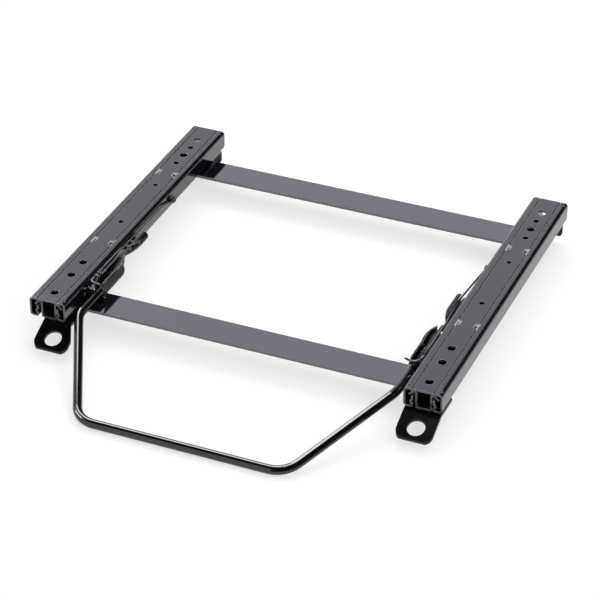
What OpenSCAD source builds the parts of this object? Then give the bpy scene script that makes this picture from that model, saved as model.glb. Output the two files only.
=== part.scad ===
// Seat slide rail: two telescoping rails on cross bars, with a lift-to-release handle.
// +X is right, +Y is rearward and +Z is up, towards the seat.
// The origin is the centre of the four seat bolt holes, on the rails' top face.

/* [Rails] */
// Distance between the centre lines of the two rails
rail_spacing = 405; // [385:1:430]
// Reach of the upper rails in front of the origin
rail_front = 187; // [184:1:195]
// Reach of the upper rails behind the origin
rail_rear = 199; // [196:1:210]
// Width of an upper rail
rail_width = 40; // [39.6:0.1:41]
// Height of an upper rail, from its top face to its curled lower edge
rail_depth = 21.4; // [21:0.1:22]
// Sheet thickness of the upper rails
upper_sheet = 1.8; // [1.7:0.05:1.85]
// Sheet thickness of the lower rails
lower_sheet = 1.8; // [1.7:0.05:1.85]
// Outer radius of the upper rail's shoulders
shoulder_r = 3.9; // [3.6:0.1:4.1]
// Outer radius of the upper rail's lower corners
curl_r = 3.7; // [3.4:0.1:4]
// Width of the lower rail's floor channel
channel_width = 17; // [16.8:0.1:17.2]
// Gap between the lower rail's floor and the upper rail's lower edge
floor_gap = 2.1; // [1.9:0.1:2.6]
// How far each lower rail's end stands back from the upper rail's end
end_inset = 2.5; // [1:0.5:4]

/* [Top holes] */
// Distance between the front and the rear seat bolts
bolt_span = 340; // [330:1:345]
// Diameter of the seat bolt holes
bolt_hole_d = 9; // [8:0.1:10]
// Diameter of the small holes between the rear bolt holes
pilot_hole_d = 6.5; // [5:0.1:7]
// Distance between neighbouring holes in the rear row
rear_hole_pitch = 18.2; // [17:0.1:19]
// Distance from the front seat bolt to the next bolt hole
front_hole_pitch = 36; // [30:0.5:40]
// Distance from that hole to the third one
front_hole_step = 26; // [22:0.5:30]

/* [Ball tracks] */
// Diameter of the balls under the shoulders
shoulder_ball_d = 5; // [4.9:0.05:5.05]
// Diameter of the balls beside the floor channel
flange_ball_d = 3; // [2.9:0.05:3.1]
// Play on each side of a ball
ball_play = 0.1; // [0.05:0.01:0.15]
// Number of balls in each group
balls_per_group = 4; // [2:1:6]
// Distance between neighbouring balls
ball_pitch = 12; // [8:0.5:14]

/* [Cross bars and feet] */
// Width of a cross bar
bar_width = 35; // [30:0.5:38]
// Thickness of the cross bars and the feet
bar_thick = 3.2; // [2.8:0.1:4]
// Distance from the origin back to the rear bar's centre line
rear_bar_y = 153.5; // [148:0.5:156]
// Distance from the origin forward to the front bar's centre line
front_bar_y = 136; // [132:0.5:138]
// Width of a front foot
front_foot_width = 38; // [34:0.5:42]
// Length of a front foot's sloping plate
front_foot_length = 34.5; // [32:0.5:40]
// Slope of the front feet, in degrees below level
front_foot_slope = 24; // [20:0.5:28]
// Diameter of the hole in a front foot
front_foot_hole_d = 18; // [14:0.5:20]
// Sideways step of the left front foot towards the middle
left_foot_shift = 14; // [8:0.5:16]
// Width of a rear foot
rear_foot_width = 32; // [28:0.5:38]
// Depth of a rear foot below the lower rail
rear_foot_drop = 17.5; // [15:0.5:20]
// Diameter of the hole in a rear foot
rear_foot_hole_d = 9; // [7:0.1:10]

/* [Release handle] */
// Diameter of the handle's rod
rod_d = 9.5; // [9:0.1:9.6]
// Distance from a rail's side wall to the rod's centre
rod_reach = 10.3; // [10:0.1:10.8]
// Depth of the rod's centre below the rails' top face
rod_depth = 15.2; // [15:0.1:15.6]
// Distance from the origin forward to the bends beside the rails
rod_bend_y = 177; // [172:0.5:182]
// Distance from the origin forward to the grip
grip_y = 304; // [290:1:320]
// Width of the grip between its corners
grip_width = 219; // [200:1:240]
// Depth of the grip's centre below the rails' top face
grip_depth = 43.7; // [40:0.1:46]
// Bend radius beside the rails
side_bend_r = 32; // [24:1:40]
// Bend radius at the grip's corners
grip_bend_r = 27; // [20:1:32]

/* [Release levers] */
// Sheet thickness of the levers
lever_sheet = 1.6; // [1.4:0.05:1.7]
// Distance from the origin forward to the lever pivots
pivot_y = 74; // [72:0.5:76]
// Depth of the lever pivots below the rails' top face
pivot_depth = 12.5; // [12:0.1:13]
// Diameter of the pivot pins
pivot_d = 6; // [5:0.1:6.5]
// Distance from the origin forward to the front end of the levers' socket
socket_y = 129.5; // [124:0.5:133]
// Outer radius of the levers' rear tubes
tube_r = 4.8; // [4.6:0.05:4.9]
// Distance from the origin forward to the right tube's rear end
right_tube_y = 6; // [3:0.5:10]
// Distance from the origin forward to the left tube's rear end
left_tube_y = 22; // [16:0.5:24]
// Number of latch teeth on each lever
tooth_count = 3; // [2:1:3]
// Distance between the latch teeth, and between the lower rail's notches
tooth_pitch = 10; // [9:0.5:11]
// Width of a latch tooth along the rail
tooth_width = 4; // [3:0.1:4.5]

/* [Springs] */
// Diameter of the spring wires
wire_d = 2.2; // [1.8:0.1:2.3]
// Distance from the origin back to the spring clips
clip_y = 60; // [56:0.5:66]
// Length of a spring clip along the rail
clip_length = 6; // [5:0.5:8]

/* [Hidden] */
$fn = 48;

// One overrun serves every cut
cut = 1;
// Running clearance of the pins, and end play of the levers
pin_play = 0.08;
end_play = 0.1;
rail_x = rail_spacing / 2;
side_face = rail_width / 2;

// Centre lines of the upper rail's section, from the rail's centre
wall_x = side_face - upper_sheet / 2;
roof_z = -upper_sheet / 2;
curl_z = -rail_depth + upper_sheet / 2;
shoulder_bend = shoulder_r - upper_sheet / 2;
curl_bend = curl_r - upper_sheet / 2;
flange_bend = 1.5;
// Grooves beside the centre strip of the top face
groove_x = 11.2;
groove_depth = 0.9;
groove_foot = 0.5;
groove_slope = 0.8;
// Inner flange: height of its ball groove, the groove's half angle, and the flange's top
flange_track_z = -15;
flange_groove_angle = 52;
flange_turn = 1.3;
flange_top_z = -8.6;

// Centre lines of the lower rail's section
lower_bottom = -rail_depth - floor_gap;
floor_z = lower_bottom + lower_sheet / 2;
channel_x = channel_width / 2 - lower_sheet / 2;
channel_bend = 1.8;
hook_bend = 1.6;
hook_top = 1.9 + upper_sheet;
hook_z = -hook_top - lower_sheet / 2;
hook_gap = 2.2;
hook_x = side_face - upper_sheet - hook_gap - lower_sheet / 2;
lip_run = 0.5;
lip_drop = 0.8;

// Ball centres, across the section
shoulder_ball = [
    side_face - upper_sheet - ball_play - shoulder_ball_d / 2,
    -upper_sheet - ball_play - shoulder_ball_d / 2
];
flange_ball = [channel_width / 2 + ball_play + flange_ball_d / 2, flange_track_z];
// The hook slopes at 45 degrees, just clear of the shoulder balls
hook_slope = shoulder_ball[0] + shoulder_ball[1] - sqrt(2) * (shoulder_ball_d / 2 + ball_play + lower_sheet / 2);
front_group_y = -100;
rear_group_y = 89;

// Ends of the lower rails
lower_front = -rail_front + end_inset;
lower_rear = rail_rear - end_inset;

// Windows lanced beside the grooves, with a pressed tongue in each
lance_y = [91, -62];
lance_length = 8;
lance_width = 4.2;
lance_x = 9.2;
tongue_tilt = 60;
tongue_length = 2.8;
tongue_play = 0.3;
// Small holes between the rows, and ball stops near the rail ends
locator_y = [63, -20.4];
locator_d = [5.5, 6];
stop_hole_d = 3;
stop_hole_x = 16.4;
stop_hole_inset = 6;
corner_cut = 5;
// Small pressed lug high on the inner side wall
lug_y = -5.4;
lug_z = -4.8;
lug_d = 2.6;
lug_out = 0.6;

// Latch: the teeth pass through windows in the side wall and stand under the lower rail's lip
tooth_y = -pivot_y + 24;
tooth_top = -10.3;
tooth_thick = 2.1;
tooth_tip = 14;
window_play = 0.5;
window_bottom = -18.3;
notch_width = 5;
notch_top = -8.8;
notch_front = -178;
notch_rear = 52;

// Lever places are counted from the rail's side wall towards the middle of the seat
socket_r = rod_d / 2 + end_play / 2 + lever_sheet / 2;
plate_near = rod_reach - socket_r - lever_sheet / 2;
plate_far = plate_near + lever_sheet;
plate_top = -4;
rim_u = 13.4;
rim_z = -5;
rim_angle = 165;
socket_rear = 92;
// The socket's outer wall ends in a point that turns in towards the wall
tip_y = 71;
tip_root = 97;
tip_u = 14.3;
tip_end_u = 8.8;
tip_low = -11.4;
tip_end_low = -6;
tip_end_top = -3.8;
tip_turn_shares = [[0, 0], [0.35, 0], [0.69, 0.35], [1, 1]];
tip_low_shares = [[0, 0], [0.42, 0.15], [0.81, 0.69], [1, 1]];
floor_end = 89;
wall_end = 85;
// The plate's front corner is cut off to let the wire through
notch_run = 5.5;
notch_drop = 5;
// The rear tube is cut to a point at its front, beside the plate
tube_u = 7.8;
tube_z = -9.2;
tube_front = 63;
tube_taper = 34;
neck_u = 4.4;
neck_r = 3.1;
tube_mouth = [10, 75];
neck_top = -7;
neck_end = 54;
boss_r = 6.4;
web_bottom = tooth_top - tooth_thick;
tooth_root = 6;
ear_y = [117, 123];
ear_width = 2.6;
ear_z = -1.9;
ear_thick = 1.2;
ear_reach = 1.6;

// Pivot pins
head_d = 8.4;
head_thick = 2.4;
collar_d = 10;
inner_head_d = 8.5;
inner_head = 1.3;

// Spring wire and clip
wire_u = 1.8;
wire_z = -3.1;
wire_low_z = -6.1;
wire_bend = 2.5;
hook_turn_y = 127.2;
hook_y = 132;
hook_tip_u = 15;
hook_tip_y = 135;
hook_tip_z = -4.6;
wire_steps = 4;
wire_sides = 12;
clip_u = 2.3;
clip_z = -11.7;
clip_sheet = 1;
clip_half = 1.6;
clip_out = 4.1;
clip_flange = 2.4;

// Rivets on the side wall, in front of the levers
rivet_d = 3.6;
rivet_head = 1.3;
rivet_y = [-135.5, -143.5, -144];
rivet_z = [-10.5, -6, -12];

// Handle and feet
rod_end_y = 99;
bend_steps = 8;
rod_sides = 24;
bar_top = lower_bottom;
bar_hole_d = 3.5;
bar_hole_x = 169;
bar_hole_inset = 8;
foot_corner_r = 9;
foot_seat = 29;
foot_bend = 3.6;
front_hole_share = 0.587;
left_foot_seat = 30;
left_foot_flare = 17;
rear_corner_r = 4;
rear_hole_share = 0.5;

// Points on an arc about c, from angle a to angle b
function arc(c, r, a, b, n) =
    [for (i = [0 : n]) let (t = a + (b - a) * i / n) [c[0] + r * cos(t), c[1] + r * sin(t)]];
function unit(v) = v / norm(v);
function side(v) = [-v[1], v[0]];
// Mitred normal of a path at its point i
function mitre(p, i) =
    let (last = len(p) - 1)
    let (a = unit(i == 0 ? p[1] - p[0] : p[i] - p[i - 1]))
    let (b = unit(i == last ? p[last] - p[last - 1] : p[i + 1] - p[i]))
    let (m = unit(side(a) + side(b)))
    m / (m * side(a));
// Outline of a sheet of thickness t that follows the centre line p
function sheet(p, t) = concat(
    [for (i = [0 : len(p) - 1]) p[i] + mitre(p, i) * t / 2],
    [for (i = [len(p) - 1 : -1 : 0]) p[i] - mitre(p, i) * t / 2]
);
function flip(p) = [for (i = [len(p) - 1 : -1 : 0]) [-p[i][0], p[i][1]]];

// The inner flange bulges round the flange balls
groove_r = flange_ball_d / 2 + ball_play + upper_sheet / 2;
groove_turn = groove_r + flange_turn;
flange_near = flange_ball[0] + groove_turn * cos(flange_groove_angle) - flange_turn;
flange_rise = groove_turn * sin(flange_groove_angle);
flange_bulge = concat(
    arc([flange_near + flange_turn, flange_track_z - flange_rise], flange_turn, 180, 180 - flange_groove_angle * 2 / 3, 2),
    arc(flange_ball, groove_r, -flange_groove_angle, flange_groove_angle, 8),
    arc([flange_near + flange_turn, flange_track_z + flange_rise], flange_turn, 180 + flange_groove_angle * 2 / 3, 180, 2)
);
upper_half = concat(
    [[groove_x - groove_foot - groove_slope, roof_z],
     [groove_x - groove_foot, roof_z - groove_depth],
     [groove_x + groove_foot, roof_z - groove_depth],
     [groove_x + groove_foot + groove_slope, roof_z]],
    arc([wall_x - shoulder_bend, roof_z - shoulder_bend], shoulder_bend, 90, 0, 8),
    arc([wall_x - curl_bend, curl_z + curl_bend], curl_bend, 0, -90, 8),
    arc([flange_near + flange_bend, curl_z + flange_bend], flange_bend, -90, -180, 5),
    flange_bulge,
    [[flange_near, flange_top_z]]
);
lower_half = concat(
    arc([channel_x - channel_bend, floor_z + channel_bend], channel_bend, -90, 0, 5),
    arc([channel_x + hook_bend, hook_z - hook_bend], hook_bend, 180, 90, 6),
    [[hook_slope - hook_z, hook_z],
     [hook_x - lip_run, hook_slope - hook_x + lip_run],
     [hook_x, hook_slope - hook_x + lip_run - lip_drop]]
);

// Draws an XZ outline along Y, between two places
module along_rail(from_y, to_y) {
    translate([0, to_y, 0])
        rotate([90, 0, 0])
            linear_extrude(to_y - from_y)
                children();
}

// Points p with each inner corner rounded to a bend of radius r[i - 1], in n steps
function rounded(p, r, n) = concat(
    [p[0]],
    [for (i = [1 : len(p) - 2]) each bend_points(p[i], unit(p[i] - p[i - 1]), unit(p[i + 1] - p[i]), r[i - 1], n)],
    [p[len(p) - 1]]
);
// A bend of radius r about the corner p, from direction a to direction b
function bend_points(p, a, b, r, n) =
    let (turn = acos(a * b))
    let (centre = p + unit(b - a) * r / cos(turn / 2))
    let (x = unit(p - a * r * tan(turn / 2) - centre))
    [for (k = [0 : n]) centre + (x * cos(turn * k / n) + a * sin(turn * k / n)) * r];
// Point at angle t on the ring of radius r round the path p at its point i
function ring_point(p, i, r, t) =
    let (back = p[max(i - 1, 0)])
    let (ahead = p[min(i + 1, len(p) - 1)])
    let (a = unit(ahead - back))
    let (x = unit(cross(a, [0, 0, 1])))
    p[i] + (x * cos(t) + cross(x, a) * sin(t)) * r;

// A round rod along the path p
module swept_rod(p, d, sides) {
    rings = len(p);
    polyhedron(
        points = [for (i = [0 : rings - 1], k = [0 : sides - 1]) ring_point(p, i, d / 2, 360 * k / sides)],
        faces = concat(
            [[for (k = [sides - 1 : -1 : 0]) k]],
            [[for (k = [0 : sides - 1]) (rings - 1) * sides + k]],
            [for (i = [0 : rings - 2], k = [0 : sides - 1])
                let (m = (k + 1) % sides)
                [i * sides + k, i * sides + m, (i + 1) * sides + m, (i + 1) * sides + k]]
        )
    );
}

// Draws the right side's piece on the left, mirrored
module on_left() {
    mirror([1, 0, 0])
        children();
}

// A cylinder along X, from one place to another
module cross_pin(x0, x1, y, z, d) {
    translate([x0, y, z])
        rotate([0, 90, 0])
            cylinder(d = d, h = x1 - x0);
}

// Upper rail of the right side; the seat's middle is on its -X side
module upper_rail() {
    color([0.25, 0.25, 0.28])
        translate([rail_x, 0, 0]) {
            difference() {
                along_rail(-rail_front, rail_rear)
                    polygon(sheet(concat(flip(upper_half), upper_half), upper_sheet));
                top_holes();
                rear_corner_cut();
                lance_windows();
                latch_windows();
                cross_pin(-side_face - cut, -side_face + upper_sheet + cut, -pivot_y, -pivot_depth, pivot_d);
                for (i = [0 : len(rivet_y) - 1])
                    cross_pin(-side_face - cut, -side_face + upper_sheet + cut, rivet_y[i], rivet_z[i], rivet_d / 2);
            }
            lance_tongues();
            cross_pin(-side_face - lug_out, -side_face + upper_sheet / 2, lug_y, lug_z, lug_d);
        }
}

module top_hole(y, d) {
    translate([0, y, -groove_x])
        cylinder(d = d, h = groove_x + cut);
}

module top_holes() {
    rear = bolt_span / 2;
    front = -bolt_span / 2;
    for (y = [rear, rear - 2 * rear_hole_pitch, front, front + front_hole_pitch, front + front_hole_pitch + front_hole_step])
        top_hole(y, bolt_hole_d);
    for (y = [rear - rear_hole_pitch, rear - 3 * rear_hole_pitch])
        top_hole(y, pilot_hole_d);
    for (i = [0 : len(locator_y) - 1])
        top_hole(locator_y[i], locator_d[i]);
    for (x = [-stop_hole_x, stop_hole_x], y = [-rail_front + stop_hole_inset, rail_rear - stop_hole_inset])
        translate([x, y, -shoulder_r])
            cylinder(d = stop_hole_d, h = shoulder_r + cut);
}

// The side walls' lower corners are cut off at the rear
module rear_corner_cut() {
    across(-side_face - cut, side_face + cut)
        polygon([
            [rail_rear - corner_cut - cut, -rail_depth - cut], [rail_rear + cut, -rail_depth - cut],
            [rail_rear + cut, -rail_depth + corner_cut + cut]
        ]);
}

module lance_windows() {
    for (s = [-1, 1], y = lance_y)
        translate([s * lance_x - lance_width / 2, y - lance_length / 2, -upper_sheet - cut])
            cube([lance_width, lance_length, upper_sheet + 2 * cut]);
}

// Each tongue is hinged at its window's rear edge and bent down steeply
module lance_tongues() {
    for (s = [-1, 1], y = lance_y)
        translate([s * lance_x - lance_width / 2 + tongue_play, y + lance_length / 2, 0])
            rotate([tongue_tilt, 0, 0])
                translate([0, -tongue_length, -upper_sheet])
                    cube([lance_width - 2 * tongue_play, tongue_length, upper_sheet / 2]);
}

module latch_windows() {
    for (i = [0 : tooth_count - 1])
        translate([-side_face - cut, tooth_y + i * tooth_pitch - tooth_width / 2 - window_play, window_bottom])
            cube([upper_sheet + 2 * cut, tooth_width + 2 * window_play, tooth_top + window_play - window_bottom]);
}

// Lower rail of the right side, with the latch notches along its inner lip
module lower_rail() {
    color([0.2, 0.2, 0.22])
        translate([rail_x, 0, 0])
            difference() {
                along_rail(lower_front, lower_rear)
                    polygon(sheet(concat(flip(lower_half), lower_half), lower_sheet));
                for (y = [notch_front : tooth_pitch : notch_rear])
                    translate([-side_face + upper_sheet, y - notch_width / 2, tooth_top])
                        cube([hook_gap + 2 * lower_sheet, notch_width, notch_top - tooth_top]);
            }
}

module ball_group(x, z, d) {
    for (s = [-1, 1], y = [front_group_y, rear_group_y], i = [0 : balls_per_group - 1])
        translate([s * x, y + i * ball_pitch, z])
            sphere(d = d, $fn = 32);
}

module shoulder_balls() {
    color([0.75, 0.75, 0.77])
        translate([rail_x, 0, 0])
            ball_group(shoulder_ball[0], shoulder_ball[1], shoulder_ball_d);
}

module flange_balls() {
    color([0.75, 0.75, 0.77])
        translate([rail_x, 0, 0])
            ball_group(flange_ball[0], flange_ball[1], flange_ball_d);
}

// Flat bar under both lower rails, from one channel's outer wall to the other's
module cross_bar(y) {
    half = rail_x + channel_width / 2;
    translate([-half, y - bar_width / 2, bar_top - bar_thick])
        cube([2 * half, bar_width, bar_thick]);
}

module front_cross_bar() {
    color([0.22, 0.22, 0.25])
        difference() {
            cross_bar(-front_bar_y);
            for (x = [-bar_hole_x, bar_hole_x])
                translate([x, -front_bar_y + bar_width / 2 - bar_hole_inset, bar_top - bar_thick - cut])
                    cylinder(d = bar_hole_d, h = bar_thick + 2 * cut);
        }
}

module rear_cross_bar() {
    color([0.22, 0.22, 0.25])
        cross_bar(rear_bar_y);
}

// Draws a YZ outline along X, between two places
module across(from_x, to_x) {
    translate([from_x, 0, 0])
        rotate([90, 0, 90])
            linear_extrude(to_x - from_x)
                children();
}

// A rectangle with round corners at its lower end, from its top edge at y = 0
module tongue_outline(x0, x1, l, r) {
    translate([x0, -l + r])
        square([x1 - x0, l - r]);
    translate([x0 + r, -l])
        square([x1 - x0 - 2 * r, l]);
    for (x = [x0 + r, x1 - r])
        translate([x, -l + r])
            circle(r = r);
}

// Front foot: a seat under the lower rail and a plate that slopes down forward.
// Where the seat is narrower than the plate, its inner edge flares out over the first part of the slope.
module front_foot(shift, seat_width, flare) {
    outer_x = shift + front_foot_width / 2;
    inner_x = outer_x - front_foot_width;
    seat_x = outer_x - seat_width;
    mid_z = bar_top - bar_thick / 2;
    reach = front_foot_length * cos(front_foot_slope);
    drop = front_foot_length * sin(front_foot_slope);
    fold = concat(
        [[lower_front + foot_seat, mid_z]],
        arc([lower_front, mid_z - foot_bend], foot_bend, 90, 90 + front_foot_slope, 4),
        [[lower_front - reach, mid_z - drop]]
    );
    color([0.16, 0.17, 0.18])
        translate([rail_x, 0, 0])
            difference() {
                across(inner_x, outer_x)
                    polygon(sheet(fold, bar_thick));
                translate([0, lower_front, mid_z - drop - bar_thick])
                    linear_extrude(drop + 2 * bar_thick)
                        foot_trim(inner_x, outer_x, seat_x, reach, flare);
                translate([shift, lower_front, mid_z])
                    rotate([-front_foot_slope, 0, 180])
                        translate([0, front_foot_length * front_hole_share, -bar_thick])
                            cylinder(d = front_foot_hole_d, h = 2 * bar_thick);
            }
}

// What is trimmed off a front foot in plan: round corners and the flare beside the seat
module foot_trim(inner_x, outer_x, seat_x, reach, flare) {
    wide = front_foot_width + 2 * foot_corner_r;
    difference() {
        translate([inner_x - foot_corner_r, -reach - bar_thick])
            square([wide, reach + bar_thick]);
        tongue_outline(inner_x, outer_x, reach, foot_corner_r);
    }
    if (seat_x > inner_x)
        polygon([
            [inner_x - cut, foot_seat + cut], [seat_x, foot_seat + cut], [seat_x, 0],
            [inner_x, -flare], [inner_x - cut, -flare]
        ]);
}

// Rear foot: a seat under the lower rail and a leg straight down
module rear_foot() {
    seat_y = rear_bar_y + bar_width / 2;
    mid_z = bar_top - bar_thick / 2;
    leg_y = lower_rear + bar_thick / 2;
    fold = concat(
        [[seat_y, mid_z]],
        arc([leg_y - foot_bend, mid_z - foot_bend], foot_bend, 90, 0, 6),
        [[leg_y, bar_top - rear_foot_drop]]
    );
    half = rear_foot_width / 2;
    hole_z = bar_top - bar_thick - (rear_foot_drop - bar_thick) * rear_hole_share;
    color([0.16, 0.17, 0.18])
        translate([rail_x, 0, 0])
            difference() {
                across(-half, half)
                    polygon(sheet(fold, bar_thick));
                along_rail(seat_y, leg_y + bar_thick)
                    difference() {
                        translate([-rear_foot_width, bar_top - rear_foot_drop - cut])
                            square([2 * rear_foot_width, rear_corner_r + cut]);
                        translate([0, bar_top])
                            tongue_outline(-half, half, rear_foot_drop, rear_corner_r);
                    }
                translate([0, leg_y - bar_thick, hole_z])
                    rotate([-90, 0, 0])
                        cylinder(d = rear_foot_hole_d, h = 2 * bar_thick);
            }
}

// Handle: one bent rod, its ends held in the levers' sockets
module release_handle() {
    x = rail_x - side_face - rod_reach;
    color([0.15, 0.15, 0.16])
        swept_rod(rounded([
            [-x, -rod_end_y, -rod_depth],
            [-x, -rod_bend_y, -rod_depth],
            [-grip_width / 2, -grip_y, -grip_depth],
            [grip_width / 2, -grip_y, -grip_depth],
            [x, -rod_bend_y, -rod_depth],
            [x, -rod_end_y, -rod_depth]
        ], [side_bend_r, grip_bend_r, grip_bend_r, side_bend_r], bend_steps), rod_d, rod_sides);
}

// Lever outlines are drawn with the rail's side wall at 0 and the seat's middle on the -X side
socket_section = concat(
    [[-rim_u, rim_z]],
    arc([-rod_reach, -rod_depth], socket_r, rim_angle, 360, 16),
    [[-rod_reach + socket_r, plate_top]]
);
// Lever of the right side: rod socket, pivot plate, rear tube and latch teeth in one pressing
module release_lever(tube_end) {
    color([0.18, 0.18, 0.2])
        translate([rail_x - side_face, 0, 0]) {
            difference() {
                union() {
                    difference() {
                        along_rail(-socket_y, -tip_y)
                            polygon(sheet(socket_section, lever_sheet));
                        socket_end_cut();
                        wire_notch();
                    }
                    lever_plate();
                }
                cross_pin(-plate_far - cut, -plate_near + cut, -pivot_y, -pivot_depth, pivot_d + 2 * pin_play);
            }
            socket_tip();
            rear_tube(tube_end);
            latch_teeth();
            wire_ears();
        }
}

// Draws a ZY outline along X, from one place towards the middle of the seat
module beside_wall(u, width) {
    translate([-u, 0, 0])
        rotate([0, -90, 0])
            linear_extrude(width)
                children();
}

// Ends the socket's floor and outer wall in front of the pivot
module socket_end_cut() {
    low = -rod_depth - socket_r - cut;
    beside_wall(plate_far, rod_reach + socket_r)
        polygon([
            [low - lever_sheet, -floor_end], [-rod_depth - socket_r / 2, -floor_end],
            [-rod_depth + socket_r / 2, -wall_end], [plate_top + cut, -wall_end],
            [plate_top + cut, -tip_y + cut], [low - lever_sheet, -tip_y + cut]
        ]);
}

// Cut-off front corner of the plate, where the wire turns over the rod
module wire_notch() {
    beside_wall(plate_near - cut, lever_sheet + 2 * cut)
        polygon([
            [plate_top + cut, -socket_y - cut], [plate_top + cut, -socket_y + notch_run],
            [plate_top - notch_drop, -socket_y - cut]
        ]);
}

// The outer wall's pointed end
module socket_tip() {
    run = tip_root - tip_y;
    plan = [for (s = tip_turn_shares) [-tip_u + (tip_u - tip_end_u) * s[1], -tip_root + run * s[0]]];
    low_edge = [for (s = tip_low_shares) [tip_low + (tip_end_low - tip_low) * s[1], -tip_root + run * s[0]]];
    intersection() {
        translate([0, 0, -2 * rod_depth])
            linear_extrude(2 * rod_depth)
                polygon(sheet(plan, lever_sheet));
        beside_wall(plate_far, rod_reach + socket_r)
            polygon(concat(low_edge, [[tip_end_top, -tip_y], [rim_z, -tip_root]]));
    }
}

// Flat plate beside the wall, from the socket past the pivot to the tube's neck
module lever_plate() {
    beside_wall(plate_near, lever_sheet) {
        polygon([
            [plate_top, -socket_rear - lever_sheet], [plate_top, -pivot_y + boss_r], [neck_top, -tube_front],
            [tube_z + neck_r / 3, -neck_end], [tube_z - neck_r / 2, -neck_end],
            [-pivot_depth - boss_r / 2, -pivot_y + boss_r / 2], [-pivot_depth - boss_r / 2, -pivot_y - boss_r / 2],
            [-rod_depth, -socket_rear - lever_sheet]
        ]);
        translate([-pivot_depth, -pivot_y])
            circle(r = boss_r);
    }
}

// Rolled tube that opens towards the wall, cut to a point at its front
module rear_tube(tube_end) {
    difference() {
        along_rail(-tube_front, -tube_end)
            translate([-tube_u, tube_z])
                difference() {
                    circle(r = tube_r);
                    circle(r = tube_r - lever_sheet);
                    polygon([[0, 0], for (t = tube_mouth) [cos(t), sin(t)] * 3 * tube_r]);
                }
        translate([0, 0, -2 * rod_depth])
            linear_extrude(2 * rod_depth)
                polygon([
                    [-neck_u, -tube_front - cut], [-tube_u - tube_r - cut, -tube_front + tube_taper],
                    [-tube_u - tube_r - cut, -tube_front - cut]
                ]);
    }
}

// Teeth reach through the wall's windows, just clear of the lower rail's lip at rest
module latch_teeth() {
    for (i = [0 : tooth_count - 1])
        translate([-tooth_root, tooth_y + i * tooth_pitch - tooth_width / 2, web_bottom])
            cube([tooth_root + side_face - tooth_tip, tooth_width, tooth_thick]);
}

// Two small ears fold over the spring wire
module wire_ears() {
    for (y = ear_y)
        translate([-plate_far, -y - ear_width / 2, 0]) {
            translate([0, 0, plate_top - lever_sheet])
                cube([lever_sheet, ear_width, ear_z + ear_thick - plate_top + lever_sheet]);
            translate([0, 0, ear_z])
                cube([plate_far - ear_reach, ear_width, ear_thick]);
        }
}

// Pin: outer head, shank through the lever, collar against the wall, and a head inside the rail
module pivot_pin() {
    color([0.7, 0.7, 0.7])
        translate([rail_x - side_face, 0, 0]) {
            cross_pin(-plate_far - end_play - head_thick, -plate_far - end_play, -pivot_y, -pivot_depth, head_d);
            cross_pin(-plate_far - end_play, upper_sheet + inner_head, -pivot_y, -pivot_depth, pivot_d);
            cross_pin(-plate_near + end_play, 0, -pivot_y, -pivot_depth, collar_d);
            cross_pin(upper_sheet, upper_sheet + inner_head, -pivot_y, -pivot_depth, inner_head_d);
        }
}

// Wire from the clip, through the rear tube, under the ears and over the rod
module spring_wire(tube_end, in_tube) {
    inside = [-tube_u + tube_r * 0.3, tube_z + tube_r * 0.25];
    mouth = [-tube_u + tube_r * 0.8, tube_z + tube_r * 0.75];
    over_rod = -rod_depth + rod_d / 2 + wire_d / 2 + end_play;
    rear = [
        [-clip_u, clip_y + clip_length, clip_z],
        [-clip_u, clip_y - clip_length, clip_z]
    ];
    through = [
        [-wire_u, clip_y - 2 * clip_length, clip_z + 2 * wire_d],
        [inside[0], -tube_end, inside[1]],
        [inside[0], -tube_end - wire_d * 2, inside[1]],
        [mouth[0], -tube_front + clip_length * 2, mouth[1]]
    ];
    beside = [
        [-wire_u, clip_y - 4 * clip_length, wire_low_z],
        [-wire_u, -tube_front + clip_length, wire_low_z + wire_d / 2]
    ];
    front = [
        [-wire_u, -tube_front - wire_d, wire_z],
        [-wire_u, -hook_turn_y, wire_z],
        [-rod_reach + rod_d * 0.3, -hook_y, over_rod],
        [-rod_reach - rod_d * 0.2, -hook_y, over_rod],
        [-hook_tip_u, -hook_tip_y, hook_tip_z]
    ];
    route = concat(rear, in_tube ? through : beside, front);
    color([0.3, 0.3, 0.32])
        translate([rail_x - side_face, 0, 0])
            swept_rod(rounded(route, [for (i = [2 : len(route) - 1]) wire_bend], wire_steps), wire_d, wire_sides);
}

// Hat-shaped clip that holds the wire's end to the side wall
module spring_clip() {
    half = clip_half + clip_sheet / 2;
    base = clip_sheet / 2;
    color([0.15, 0.15, 0.17])
        translate([rail_x - side_face, 0, 0])
            along_rail(clip_y - clip_length / 2, clip_y + clip_length / 2)
                polygon(sheet([
                    [-base, clip_z + half + clip_flange], [-base, clip_z + half],
                    [-clip_out, clip_z + half], [-clip_out, clip_z - half],
                    [-base, clip_z - half], [-base, clip_z - half - clip_flange]
                ], clip_sheet));
}

// Two small rivets in the side wall in front of the lever
module stop_rivets() {
    color([0.7, 0.7, 0.7])
        translate([rail_x - side_face, 0, 0])
            for (i = [0 : len(rivet_y) - 1]) {
                cross_pin(0, upper_sheet, rivet_y[i], rivet_z[i], rivet_d / 2);
                translate([0, rivet_y[i], rivet_z[i]])
                    rotate([0, -90, 0])
                        rivet_dome();
            }
}

module rivet_dome() {
    dome_r = (rivet_d * rivet_d / 4 + rivet_head * rivet_head) / (2 * rivet_head);
    rotate_extrude()
        intersection() {
            translate([0, rivet_head - dome_r])
                circle(r = dome_r);
            square([rivet_d / 2, rivet_head]);
        }
}

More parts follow.
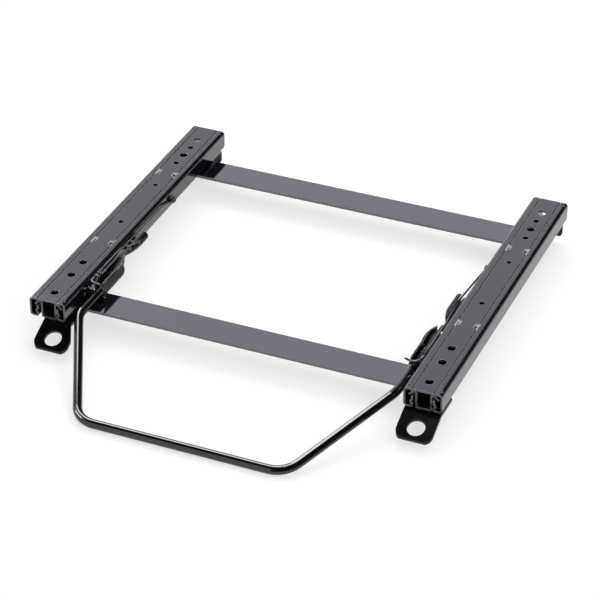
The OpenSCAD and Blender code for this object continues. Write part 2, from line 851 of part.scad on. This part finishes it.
on_left() upper_rail();  // upper_rail_left
upper_rail();  // upper_rail_right
on_left() lower_rail();  // lower_rail_left
lower_rail();  // lower_rail_right
on_left() shoulder_balls();  // shoulder_balls_left
shoulder_balls();  // shoulder_balls_right
on_left() flange_balls();  // flange_balls_left
flange_balls();  // flange_balls_right
front_cross_bar();
rear_cross_bar();
on_left() front_foot(-left_foot_shift, left_foot_seat, left_foot_flare);  // front_foot_left
front_foot(0, front_foot_width, 0);  // front_foot_right
on_left() rear_foot();  // rear_foot_left
rear_foot();  // rear_foot_right
release_handle();
on_left() release_lever(left_tube_y);  // release_lever_left
release_lever(right_tube_y);  // release_lever_right
on_left() pivot_pin();  // pivot_pin_left
pivot_pin();  // pivot_pin_right
on_left() spring_wire(left_tube_y, false);  // spring_wire_left
spring_wire(right_tube_y, true);  // spring_wire_right
on_left() spring_clip();  // spring_clip_left
spring_clip();  // spring_clip_right
on_left() stop_rivets();  // stop_rivets_left
stop_rivets();  // stop_rivets_right
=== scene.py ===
"""Dresses the seat slide rail: black paint, bright rivets, spring steel, floor and camera."""
import math

import bmesh
import bpy
from mathutils import Matrix, Vector


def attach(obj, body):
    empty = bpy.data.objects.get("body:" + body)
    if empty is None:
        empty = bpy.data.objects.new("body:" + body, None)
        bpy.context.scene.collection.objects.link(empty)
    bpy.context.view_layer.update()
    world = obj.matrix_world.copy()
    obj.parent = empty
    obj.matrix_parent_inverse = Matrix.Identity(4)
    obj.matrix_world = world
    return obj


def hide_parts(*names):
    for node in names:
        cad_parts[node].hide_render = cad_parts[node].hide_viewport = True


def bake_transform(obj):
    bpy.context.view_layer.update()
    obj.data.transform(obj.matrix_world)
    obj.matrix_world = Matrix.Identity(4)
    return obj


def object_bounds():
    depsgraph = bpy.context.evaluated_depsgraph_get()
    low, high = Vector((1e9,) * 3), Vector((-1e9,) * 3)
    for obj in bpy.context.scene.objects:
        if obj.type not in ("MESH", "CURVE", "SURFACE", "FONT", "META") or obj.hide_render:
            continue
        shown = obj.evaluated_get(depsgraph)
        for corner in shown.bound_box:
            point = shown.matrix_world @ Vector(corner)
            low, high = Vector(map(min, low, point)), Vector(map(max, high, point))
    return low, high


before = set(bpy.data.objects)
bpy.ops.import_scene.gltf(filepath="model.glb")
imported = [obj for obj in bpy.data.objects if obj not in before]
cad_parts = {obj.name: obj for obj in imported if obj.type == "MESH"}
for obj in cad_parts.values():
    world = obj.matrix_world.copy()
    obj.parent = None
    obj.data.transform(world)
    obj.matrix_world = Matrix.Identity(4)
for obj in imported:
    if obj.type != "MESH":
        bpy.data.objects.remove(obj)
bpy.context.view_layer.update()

# Camera: fitted to the rails' edges and bolt holes
EYE = Vector((0.8449, -1.9810, 1.3454))
BACK = Vector((0.3302, -0.7696, 0.5465))
ROLL_DEG = -0.15
LENS_MM = 146.6
SENSOR_MM = 36.0

# Studio
WHITE = (1.0, 1.0, 1.0, 1.0)
DAYLIGHT = (0.97, 0.98, 1.0, 1.0)
DAYLIGHT_STRENGTH = 0.5
FLOOR_TINT = (0.55, 0.545, 0.53)
FLOOR_ROUGHNESS = 0.9
FLOOR_SIZE = 8.0
FLOOR_DROP = 0.0005
FLOOR_LIFT = 0.62
# What gloss mirrors in the world: white low down and behind, dark overhead and on the right.
# The places run from 0, straight down or left, to 1, straight up or right.
REAR_WHITE = (1.06, 1.05, 1.2, 1.0)
SIDE_GREY = (0.5, 0.5, 0.5, 1.0)
DARK = (0.02, 0.02, 0.02, 1.0)
MIRRORED_HEIGHTS = [(0.0, REAR_WHITE), (0.83, REAR_WHITE), (0.9, DARK), (1.0, DARK)]
MIRRORED_SIDES = [
    (0.0, SIDE_GREY), (0.1, SIDE_GREY), (0.2, WHITE), (0.38, WHITE), (0.47, DARK), (1.0, DARK),
]
CARD_TURN_DEG = 95.0

# Surface detail: sizes and heights in metres
DRIFT_SIZE = 0.035
HANDLING_SIZE = 0.012
PEEL_SIZE = 0.0016
PEEL_BUMP = (0.05, 0.00002)
DUST_SIZE = 0.0004
DUST_BUMP = (0.03, 0.000006)
GRAIN_SIZE = 0.0009
GRAIN_BUMP = (0.12, 0.00002)
STAIN_SIZE = 0.006
STAIN_DARKNESS = 0.72
EDGE_RADIUS = 0.0003
BEVEL_SAMPLES = 6
# Painted highlight: near-white lines along edges within these widths, broken into patches, stand
# in for the light that rounded edges catch.
RAIL_HIGHLIGHT_WIDTH = 0.0008
LEVER_HIGHLIGHT_WIDTH = 0.0006
HIGHLIGHT_PATCH_SIZE = 0.004
HIGHLIGHT_PATCH_LEAST = 0.45
# The near-white colour of the painted highlights.
PAINTED_HIGHLIGHT_WHITE = (0.95, 0.95, 0.95, 1.0)
EVEN_GRAIN = (1.0, 1.0, 1.0)
DRAWN_GRAIN = (1.0, 0.1, 1.0)
# The lanced windows, whose tongues get a painted highlight: middle, distance from the middle, half
# width
LANCE_X = (0.2025, 0.0092, 0.0027)
LANCE_Y = (0.0145, 0.0765, 0.006)
LANCE_Z = (0.0, 0.0023, 0.0019)

# Places beside a rail are (mm from the side wall, mm along the rail, mm up)
MM = 0.001
WALL_MM = 182.5

# Spring wires
WIRE_RADIUS_MM = 1.1
WIRE_SIDES = 16
WIRE_STEP_MM = 3.0
WIRE_DOME_DEG = (60.0, 30.0)
BEND_MM = 4.0
BEND_SHARE = 0.45
BEND_STEPS = 8
LEFT_ROUTE = [
    (2.3, 66, -11.7), (2.3, 54, -11.7), (1.8, 36, -6.1), (1.8, -57, -5.0), (1.8, -65.2, -3.1),
    (1.8, -133.2, -3.1), (11.5, -133.2, -4.6), (14.6, -133.4, -6.0), (16.4, -133.6, -9.8),
]
RIGHT_ROUTE = [
    (2.3, 66, -11.7), (2.3, 54, -11.7), (1.8, 48, -7.3), (6.36, -6, -8.0), (6.36, -10.4, -8.0),
    (3.96, -51, -5.6), (1.8, -65.2, -3.1), (1.8, -129, -3.1), (4.5, -132.8, -5.4),
    (9.5, -133.5, -7.2), (14.5, -133.5, -7.3), (18.3, -134, -5.6),
]

# Floor of a lever's socket behind the rod, from its root to the point of the outer wall
FLOOR_ROOT_MM = -97.0
WALL_REACH_MM = 26.0
PLATE_REACH_MM = 22.0
PLATE_MM = 5.3
PLATE_DROP_MM = 0.5
FLOOR_SHEET_MM = 1.0
FLOOR_DIP_MM = 1.0
FLOOR_STEPS = 20
FLOOR_ACROSS = 8
# Its edge beside the outer wall: (share along, mm from the side wall, mm up)
FLOOR_EDGE = [
    (0.0, 14.9, -10.9), (0.38, 14.9, -10.2), (0.69, 13.0, -8.1), (0.85, 11.2, -6.9),
    (1.0, 9.2, -5.6),
]


# Shader nodes

def set_input(node, name, value):
    node.inputs[name].default_value = value


def grey(value):
    return (value, value, value, 1.0)


def math_node(tree, operation, *values):
    """The result of a Math node on numbers and sockets."""
    node = tree.nodes.new("ShaderNodeMath")
    node.operation = operation
    for socket, value in zip(node.inputs, values):
        if isinstance(value, float):
            socket.default_value = value
        else:
            tree.links.new(value, socket)
    return node.outputs["Value"]


def split_vector(tree, vector):
    split = tree.nodes.new("ShaderNodeSeparateXYZ")
    tree.links.new(vector, split.inputs["Vector"])
    return split.outputs


def object_noise(tree, size, detail, stretch=EVEN_GRAIN):
    """Noise in object space with features of about the given size in metres."""
    coords = tree.nodes.new("ShaderNodeTexCoord")
    mapping = tree.nodes.new("ShaderNodeMapping")
    set_input(mapping, "Scale", stretch)
    noise = tree.nodes.new("ShaderNodeTexNoise")
    set_input(noise, "Scale", 1.0 / size)
    set_input(noise, "Detail", detail)
    tree.links.new(coords.outputs["Object"], mapping.inputs["Vector"])
    tree.links.new(mapping.outputs["Vector"], noise.inputs["Vector"])
    return noise.outputs["Fac"]


def ramp(tree, source, stops):
    """The colour of a ramp with (place, colour) stops."""
    node = tree.nodes.new("ShaderNodeValToRGB")
    first, last = node.color_ramp.elements
    first.position, first.color = stops[0]
    last.position, last.color = stops[-1]
    for place, color in stops[1:-1]:
        node.color_ramp.elements.new(place).color = color
    tree.links.new(source, node.inputs["Fac"])
    return node.outputs["Color"]


def rounded_normal(tree, radius):
    """The normal of a surface whose edges are rounded to the radius in shading."""
    edge = tree.nodes.new("ShaderNodeBevel")
    edge.samples = BEVEL_SAMPLES
    set_input(edge, "Radius", radius)
    return edge.outputs["Normal"]


def ray_is(tree, *kinds):
    """1 on rays of any of the given kinds."""
    path = tree.nodes.new("ShaderNodeLightPath")
    seen = path.outputs["Is %s Ray" % kinds[0]]
    for kind in kinds[1:]:
        seen = math_node(tree, "MAXIMUM", seen, path.outputs["Is %s Ray" % kind])
    return seen


# Materials

def new_material(name, color, roughness, metallic=0.0, ior=1.5):
    """A Principled material with its constants on its own sockets."""
    material = bpy.data.materials.new(name)
    material.use_nodes = True
    shader = material.node_tree.nodes["Principled BSDF"]
    set_input(shader, "Base Color", (*color, 1.0))
    set_input(shader, "Roughness", roughness)
    set_input(shader, "Metallic", metallic)
    set_input(shader, "IOR", ior)
    material.diffuse_color = (*color, 1.0)
    return material


def add_relief(tree, reliefs):
    """Rounds the sharp edges in shading and adds bumps, given as (noise, (strength, height))."""
    normal = rounded_normal(tree, EDGE_RADIUS)
    for noise, (strength, height) in reliefs:
        bump = tree.nodes.new("ShaderNodeBump")
        set_input(bump, "Strength", strength)
        set_input(bump, "Distance", height)
        tree.links.new(noise, bump.inputs["Height"])
        tree.links.new(normal, bump.inputs["Normal"])
        normal = bump.outputs["Normal"]
    tree.links.new(normal, tree.nodes["Principled BSDF"].inputs["Normal"])


def edge_highlight(tree, width, strength):
    """Painted highlight: up to the given strength where an edge is within the width, broken up by
    noise.
    """
    surface = tree.nodes.new("ShaderNodeNewGeometry")
    agree = tree.nodes.new("ShaderNodeVectorMath")
    agree.operation = "DOT_PRODUCT"
    tree.links.new(rounded_normal(tree, width), agree.inputs[0])
    tree.links.new(surface.outputs["Normal"], agree.inputs[1])
    ramped = ramp(tree, agree.outputs["Value"], [
        (0.0, grey(strength)), (0.9, grey(strength)), (0.99, grey(0.0)),
    ])
    patches = ramp(tree, object_noise(tree, HIGHLIGHT_PATCH_SIZE, 3.0), [
        (0.35, grey(HIGHLIGHT_PATCH_LEAST)), (0.6, grey(1.0)),
    ])
    return math_node(tree, "MULTIPLY", ramped, patches)


def lanced_tongue_highlight(tree):
    """1 on the lanced tongues of the windows in the upper rails' roofs, where a highlight is
    painted.
    """
    coords = tree.nodes.new("ShaderNodeTexCoord")
    place = split_vector(tree, coords.outputs["Object"])
    inside = 1.0
    for along, (middle, offset, reach) in (
        (math_node(tree, "ABSOLUTE", place["X"]), LANCE_X),
        (place["Y"], LANCE_Y),
        (place["Z"], LANCE_Z),
    ):
        away = math_node(tree, "ABSOLUTE", math_node(tree, "SUBTRACT", along, middle))
        near = math_node(tree, "COMPARE", away, offset, reach)
        inside = math_node(tree, "MULTIPLY", inside, near)
    return inside


def paint(name, color, lighter, gloss, ior, highlight_width=0.0, highlight=0.0, highlight_tongues=False):
    """Glossy paint on steel: faint colour drift, uneven gloss, orange peel and painted edge
    highlights.
    """
    smooth, rough = gloss
    material = new_material(name, color, smooth, ior=ior)
    tree = material.node_tree
    shader = tree.nodes["Principled BSDF"]
    tone = ramp(tree, object_noise(tree, DRIFT_SIZE, 4.0), [
        (0.35, (*color, 1.0)), (0.7, (*lighter, 1.0)),
    ])
    # Painted highlight: near-white mixed into the colour along edges, and on the lanced tongues
    # when asked for.
    if highlight > 0.0:
        highlit_share = edge_highlight(tree, highlight_width, highlight)
        if highlight_tongues:
            # Painted highlight on the lanced tongues, in place of the light they reflect.
            highlit_share = math_node(tree, "MAXIMUM", highlit_share, lanced_tongue_highlight(tree))
        highlighted = tree.nodes.new("ShaderNodeMixRGB")
        tree.links.new(highlit_share, highlighted.inputs["Fac"])
        tree.links.new(tone, highlighted.inputs["Color1"])
        set_input(highlighted, "Color2", PAINTED_HIGHLIGHT_WHITE)
        tone = highlighted.outputs["Color"]
    tree.links.new(tone, shader.inputs["Base Color"])
    handled = ramp(tree, object_noise(tree, HANDLING_SIZE, 6.0), [
        (0.3, grey(smooth)), (0.75, grey(rough)),
    ])
    tree.links.new(handled, shader.inputs["Roughness"])
    add_relief(tree, [
        (object_noise(tree, PEEL_SIZE, 2.0), PEEL_BUMP),
        (object_noise(tree, DUST_SIZE, 1.0), DUST_BUMP),
    ])
    return material


def bare_steel(name, color, gloss, grain):
    """Plated or drawn steel with fine grain and faint stains."""
    smooth, rough = gloss
    material = new_material(name, color, smooth, metallic=1.0)
    tree = material.node_tree
    shader = tree.nodes["Principled BSDF"]
    marks = object_noise(tree, GRAIN_SIZE, 5.0, grain)
    ramped = ramp(tree, marks, [(0.3, grey(smooth)), (0.7, grey(rough))])
    tree.links.new(ramped, shader.inputs["Roughness"])
    dark = tuple(STAIN_DARKNESS * part for part in color)
    tone = ramp(tree, object_noise(tree, STAIN_SIZE, 3.0), [
        (0.3, (*dark, 1.0)), (0.62, (*color, 1.0)),
    ])
    tree.links.new(tone, shader.inputs["Base Color"])
    add_relief(tree, [(marks, GRAIN_BUMP)])
    return material


def both(name):
    return [name + "_left", name + "_right"]


def dress(material, *names):
    """Puts one material on whole CAD nodes."""
    for name in names:
        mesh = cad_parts[name].data
        mesh.materials.clear()
        mesh.materials.append(material)


# Pieces

def new_piece(name, mesh, material):
    """An object from a bmesh, with its faces turned outwards."""
    bmesh.ops.recalc_face_normals(mesh, faces=mesh.faces)
    data = bpy.data.meshes.new(name)
    mesh.to_mesh(data)
    mesh.free()
    data.materials.append(material)
    piece = bpy.data.objects.new(name, data)
    bpy.context.collection.objects.link(piece)
    return piece


def smooth_route(corners):
    """The route with each corner rounded and the straights cut into short steps."""
    points = [corners[0]]
    for before, corner, after in zip(corners, corners[1:], corners[2:]):
        back, on = before - corner, after - corner
        reach = min(BEND_MM, BEND_SHARE * back.length, BEND_SHARE * on.length)
        start, end = corner + back.normalized() * reach, corner + on.normalized() * reach
        for step in range(BEND_STEPS + 1):
            t = step / BEND_STEPS
            points.append(start.lerp(corner, t).lerp(corner.lerp(end, t), t))
    points.append(corners[-1])
    fine = [points[0]]
    for point in points[1:]:
        first = fine[-1]
        gap = point - first
        count = max(1, round(gap.length / WIRE_STEP_MM))
        fine.extend(first + gap * (step / count) for step in range(1, count + 1))
    return fine


def wire_rings(centres):
    """The wire's rings as (centre, direction, share of the radius), with a dome at each end."""
    steps = [(b - a).normalized() for a, b in zip(centres, centres[1:])]
    heading = [steps[0]] + [(a + b).normalized() for a, b in zip(steps, steps[1:])] + [steps[-1]]
    rings = [(place, along, 1.0) for place, along in zip(centres, heading)]
    domes = []
    for place, along, sign in ((centres[0], heading[0], -1.0), (centres[-1], heading[-1], 1.0)):
        domes.append([])
        for turn in WIRE_DOME_DEG:
            tilt = math.radians(turn)
            centre = place + along * (sign * WIRE_RADIUS_MM * math.sin(tilt))
            domes[-1].append((centre, along, math.cos(tilt)))
    return domes[0] + rings + domes[1][::-1]


def spring_wire(name, replaced, side, route, material):
    """A round wire with domed ends that bends between the slider and the lever."""
    centres = smooth_route([Vector((side * (WALL_MM - u), y, z)) for u, y, z in route])
    mesh = bmesh.new()
    across = Vector((1.0, 0.0, 0.0))
    loops = []
    for place, along, share in wire_rings(centres):
        across = (across - along * across.dot(along)).normalized()
        up = along.cross(across)
        loop = []
        for k in range(WIRE_SIDES):
            turn = math.tau * k / WIRE_SIDES
            spoke = across * math.cos(turn) + up * math.sin(turn)
            loop.append(mesh.verts.new(MM * (place + WIRE_RADIUS_MM * share * spoke)))
        loops.append(loop)
    for low, high in zip(loops, loops[1:]):
        for k in range(WIRE_SIDES):
            mesh.faces.new((low[k], low[k - 1], high[k - 1], high[k]))
    mesh.faces.new(loops[0])
    mesh.faces.new(reversed(loops[-1]))
    piece = new_piece(name, mesh, material)
    piece.data.shade_smooth()
    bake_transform(piece)
    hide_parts(replaced)


def floor_edge(share):
    """The socket floor's edge at a share of its length, between the given places."""
    for low, high in zip(FLOOR_EDGE, FLOOR_EDGE[1:]):
        if share <= high[0]:
            t = (share - low[0]) / (high[0] - low[0])
            return low[1] + t * (high[1] - low[1]), low[2] + t * (high[2] - low[2])
    return FLOOR_EDGE[-1][1:]


def floor_row(mesh, side, share, lowered):
    """Points across the socket floor, from the outer wall to the plate."""
    u, z = floor_edge(share)
    wall = Vector((side * (WALL_MM - u), FLOOR_ROOT_MM + WALL_REACH_MM * share, z))
    plate = Vector((
        side * (WALL_MM - PLATE_MM), FLOOR_ROOT_MM + PLATE_REACH_MM * share, z - PLATE_DROP_MM,
    ))
    row = []
    for k in range(FLOOR_ACROSS + 1):
        t = k / FLOOR_ACROSS
        place = wall.lerp(plate, t)
        place.z -= lowered + FLOOR_DIP_MM * 4.0 * t * (1.0 - t)
        row.append(mesh.verts.new(MM * place))
    return row


def socket_floor(name, side, material):
    """The dished floor between a lever's plate and the point of its outer wall."""
    mesh = bmesh.new()
    top, bottom = (
        [floor_row(mesh, side, i / FLOOR_STEPS, lowered) for i in range(FLOOR_STEPS + 1)]
        for lowered in (0.0, FLOOR_SHEET_MM)
    )
    for i in range(FLOOR_STEPS):
        for k in range(FLOOR_ACROSS):
            for sheet in (top, bottom):
                mesh.faces.new((
                    sheet[i][k], sheet[i][k + 1], sheet[i + 1][k + 1], sheet[i + 1][k],
                ))
        for k in (0, FLOOR_ACROSS):
            mesh.faces.new((top[i][k], top[i + 1][k], bottom[i + 1][k], bottom[i][k]))
    for i in (0, FLOOR_STEPS):
        for k in range(FLOOR_ACROSS):
            mesh.faces.new((top[i][k], top[i][k + 1], bottom[i][k + 1], bottom[i][k]))
    piece = new_piece(name, mesh, material)
    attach(piece, "release")


# Studio

def make_camera():
    data = bpy.data.cameras.new("camera")
    data.lens = LENS_MM
    data.sensor_width = SENSOR_MM
    camera = bpy.data.objects.new("camera", data)
    turn = BACK.to_track_quat("Z", "Y").to_matrix().to_4x4()
    roll = Matrix.Rotation(math.radians(ROLL_DEG), 4, "Z")
    camera.matrix_world = Matrix.Translation(EYE) @ turn @ roll
    bpy.context.collection.objects.link(camera)
    bpy.context.scene.camera = camera


def background(tree, color, strength):
    """A Background node of one colour, or of the colour that a socket gives."""
    node = tree.nodes.new("ShaderNodeBackground")
    if isinstance(color, tuple):
        set_input(node, "Color", color)
    else:
        tree.links.new(color, node.inputs["Color"])
    set_input(node, "Strength", strength)
    return node.outputs["Background"]


def mix_shaders(tree, share, plain, other):
    mixed = tree.nodes.new("ShaderNodeMixShader")
    tree.links.new(share, mixed.inputs["Fac"])
    tree.links.new(plain, mixed.inputs[1])
    tree.links.new(other, mixed.inputs[2])
    return mixed.outputs["Shader"]


def mirrored_studio(tree):
    """The colour that gloss mirrors in each direction of the world."""
    coords = tree.nodes.new("ShaderNodeTexCoord")
    shares = tree.nodes.new("ShaderNodeVectorMath")
    shares.operation = "MULTIPLY_ADD"
    shares.inputs[1].default_value = (0.5, 0.5, 0.5)
    shares.inputs[2].default_value = (0.5, 0.5, 0.5)
    tree.links.new(coords.outputs["Generated"], shares.inputs[0])
    place = split_vector(tree, shares.outputs["Vector"])
    product = tree.nodes.new("ShaderNodeVectorMath")
    product.operation = "MULTIPLY"
    tree.links.new(ramp(tree, place["Z"], MIRRORED_HEIGHTS), product.inputs[0])
    tree.links.new(ramp(tree, place["X"], MIRRORED_SIDES), product.inputs[1])
    return product.outputs["Vector"]


def make_world():
    """Even light on surfaces, white behind the object, and a part-dark studio for gloss."""
    world = bpy.data.worlds.new("studio")
    bpy.context.scene.world = world
    world.use_nodes = True
    tree = world.node_tree
    tree.nodes.clear()
    light = background(tree, DAYLIGHT, DAYLIGHT_STRENGTH)
    mirrored = background(tree, mirrored_studio(tree), 1.0)
    lit = mix_shaders(tree, ray_is(tree, "Glossy"), light, mirrored)
    backdrop = background(tree, WHITE, 1.0)
    shown = mix_shaders(tree, ray_is(tree, "Camera", "Transmission"), lit, backdrop)
    output = tree.nodes.new("ShaderNodeOutputWorld")
    tree.links.new(shown, output.inputs["Surface"])


def make_floor():
    """Pale paper that keeps the object's shadow, with a glow that lifts the lit paper to white."""
    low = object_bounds()[0][2] - FLOOR_DROP
    bpy.ops.mesh.primitive_plane_add(size=FLOOR_SIZE, location=(0.0, 0.0, low))
    floor = bpy.context.object
    floor.name = "floor"
    material = new_material("floor_paper", FLOOR_TINT, FLOOR_ROUGHNESS)
    tree = material.node_tree
    shader = tree.nodes["Principled BSDF"]
    set_input(shader, "Specular IOR Level", 0.0)
    glow = tree.nodes.new("ShaderNodeEmission")
    set_input(glow, "Color", WHITE)
    seen = ray_is(tree, "Camera", "Glossy", "Transmission")
    tree.links.new(math_node(tree, "MULTIPLY", seen, FLOOR_LIFT), glow.inputs["Strength"])
    lifted = tree.nodes.new("ShaderNodeAddShader")
    tree.links.new(shader.outputs["BSDF"], lifted.inputs[0])
    tree.links.new(glow.outputs["Emission"], lifted.inputs[1])
    tree.links.new(lifted.outputs["Shader"], tree.nodes["Material Output"].inputs["Surface"])
    floor.data.materials.append(material)


def area_light(name, place, size, power, turn_deg=0.0, card=False):
    """A rectangular lamp that looks at the origin.

    A card shows in gloss only, and the others light everything else."""
    data = bpy.data.lights.new(name, "AREA")
    data.shape = "RECTANGLE"
    data.size, data.size_y = size
    data.energy = power
    lamp = bpy.data.objects.new(name, data)
    lamp.location = place
    aim = Vector(place).to_track_quat("Z", "Y").to_matrix()
    lamp.rotation_euler = (aim @ Matrix.Rotation(math.radians(turn_deg), 3, "Z")).to_euler()
    lamp.visible_diffuse = not card
    lamp.visible_glossy = card
    bpy.context.collection.objects.link(lamp)


# The rails and levers get painted edge highlights, and the rails' lanced tongues a painted
# highlight too.
rail_paint = paint(
    "rail_paint", color=(0.006, 0.006, 0.008), lighter=(0.009, 0.009, 0.012),
    gloss=(0.08, 0.13), ior=1.75, highlight_width=RAIL_HIGHLIGHT_WIDTH, highlight=0.6, highlight_tongues=True,
)
bar_paint = paint(
    "bar_paint", color=(0.006, 0.006, 0.009), lighter=(0.009, 0.009, 0.013),
    gloss=(0.06, 0.1), ior=2.15,
)
foot_paint = paint(
    "foot_paint", color=(0.003, 0.0032, 0.0032), lighter=(0.004, 0.0045, 0.0045),
    gloss=(0.08, 0.12), ior=1.4,
)
lever_paint = paint(
    "lever_paint", color=(0.005, 0.005, 0.005), lighter=(0.008, 0.008, 0.008),
    gloss=(0.38, 0.5), ior=1.3, highlight_width=LEVER_HIGHLIGHT_WIDTH, highlight=0.8,
)
rod_paint = paint(
    "rod_paint", color=(0.004, 0.004, 0.0045), lighter=(0.006, 0.006, 0.0065),
    gloss=(0.08, 0.12), ior=1.6,
)
bright_steel = bare_steel(
    "bright_steel", color=(0.78, 0.78, 0.8), gloss=(0.12, 0.3), grain=EVEN_GRAIN,
)
spring_steel = bare_steel(
    "spring_steel", color=(0.2, 0.195, 0.19), gloss=(0.32, 0.45), grain=DRAWN_GRAIN,
)

dress(rail_paint, *both("upper_rail"), *both("lower_rail"))
dress(bar_paint, "front_cross_bar", "rear_cross_bar")
dress(foot_paint, *both("front_foot"), *both("rear_foot"))
dress(lever_paint, *both("release_lever"), *both("spring_clip"))
dress(rod_paint, "release_handle")
dress(bright_steel, *both("pivot_pin"), *both("stop_rivets"))
dress(bright_steel, *both("shoulder_balls"), *both("flange_balls"))
dress(spring_steel, *both("spring_wire"))

socket_floor("socket_floor_left", -1, lever_paint)
socket_floor("socket_floor_right", 1, lever_paint)
spring_wire(
    "spring_wire_left_bent", "spring_wire_left", -1, LEFT_ROUTE, spring_steel,
)
spring_wire(
    "spring_wire_right_bent", "spring_wire_right", 1, RIGHT_ROUTE, spring_steel,
)

make_camera()
make_world()
make_floor()
area_light("rear_card", (-0.79, 0.71, 1.75), (2.4, 0.6), 45.0, CARD_TURN_DEG, card=True)
area_light("left_card", (-1.7, -0.55, 1.05), (0.9, 0.7), 20.0, card=True)
area_light("rear_softbox", (-0.3, 1.4, 2.0), (2.6, 1.4), 22.0)
area_light("side_softbox", (1.8, -1.0, 1.6), (1.4, 1.4), 12.0)

bpy.context.scene.view_settings.view_transform = "Standard"
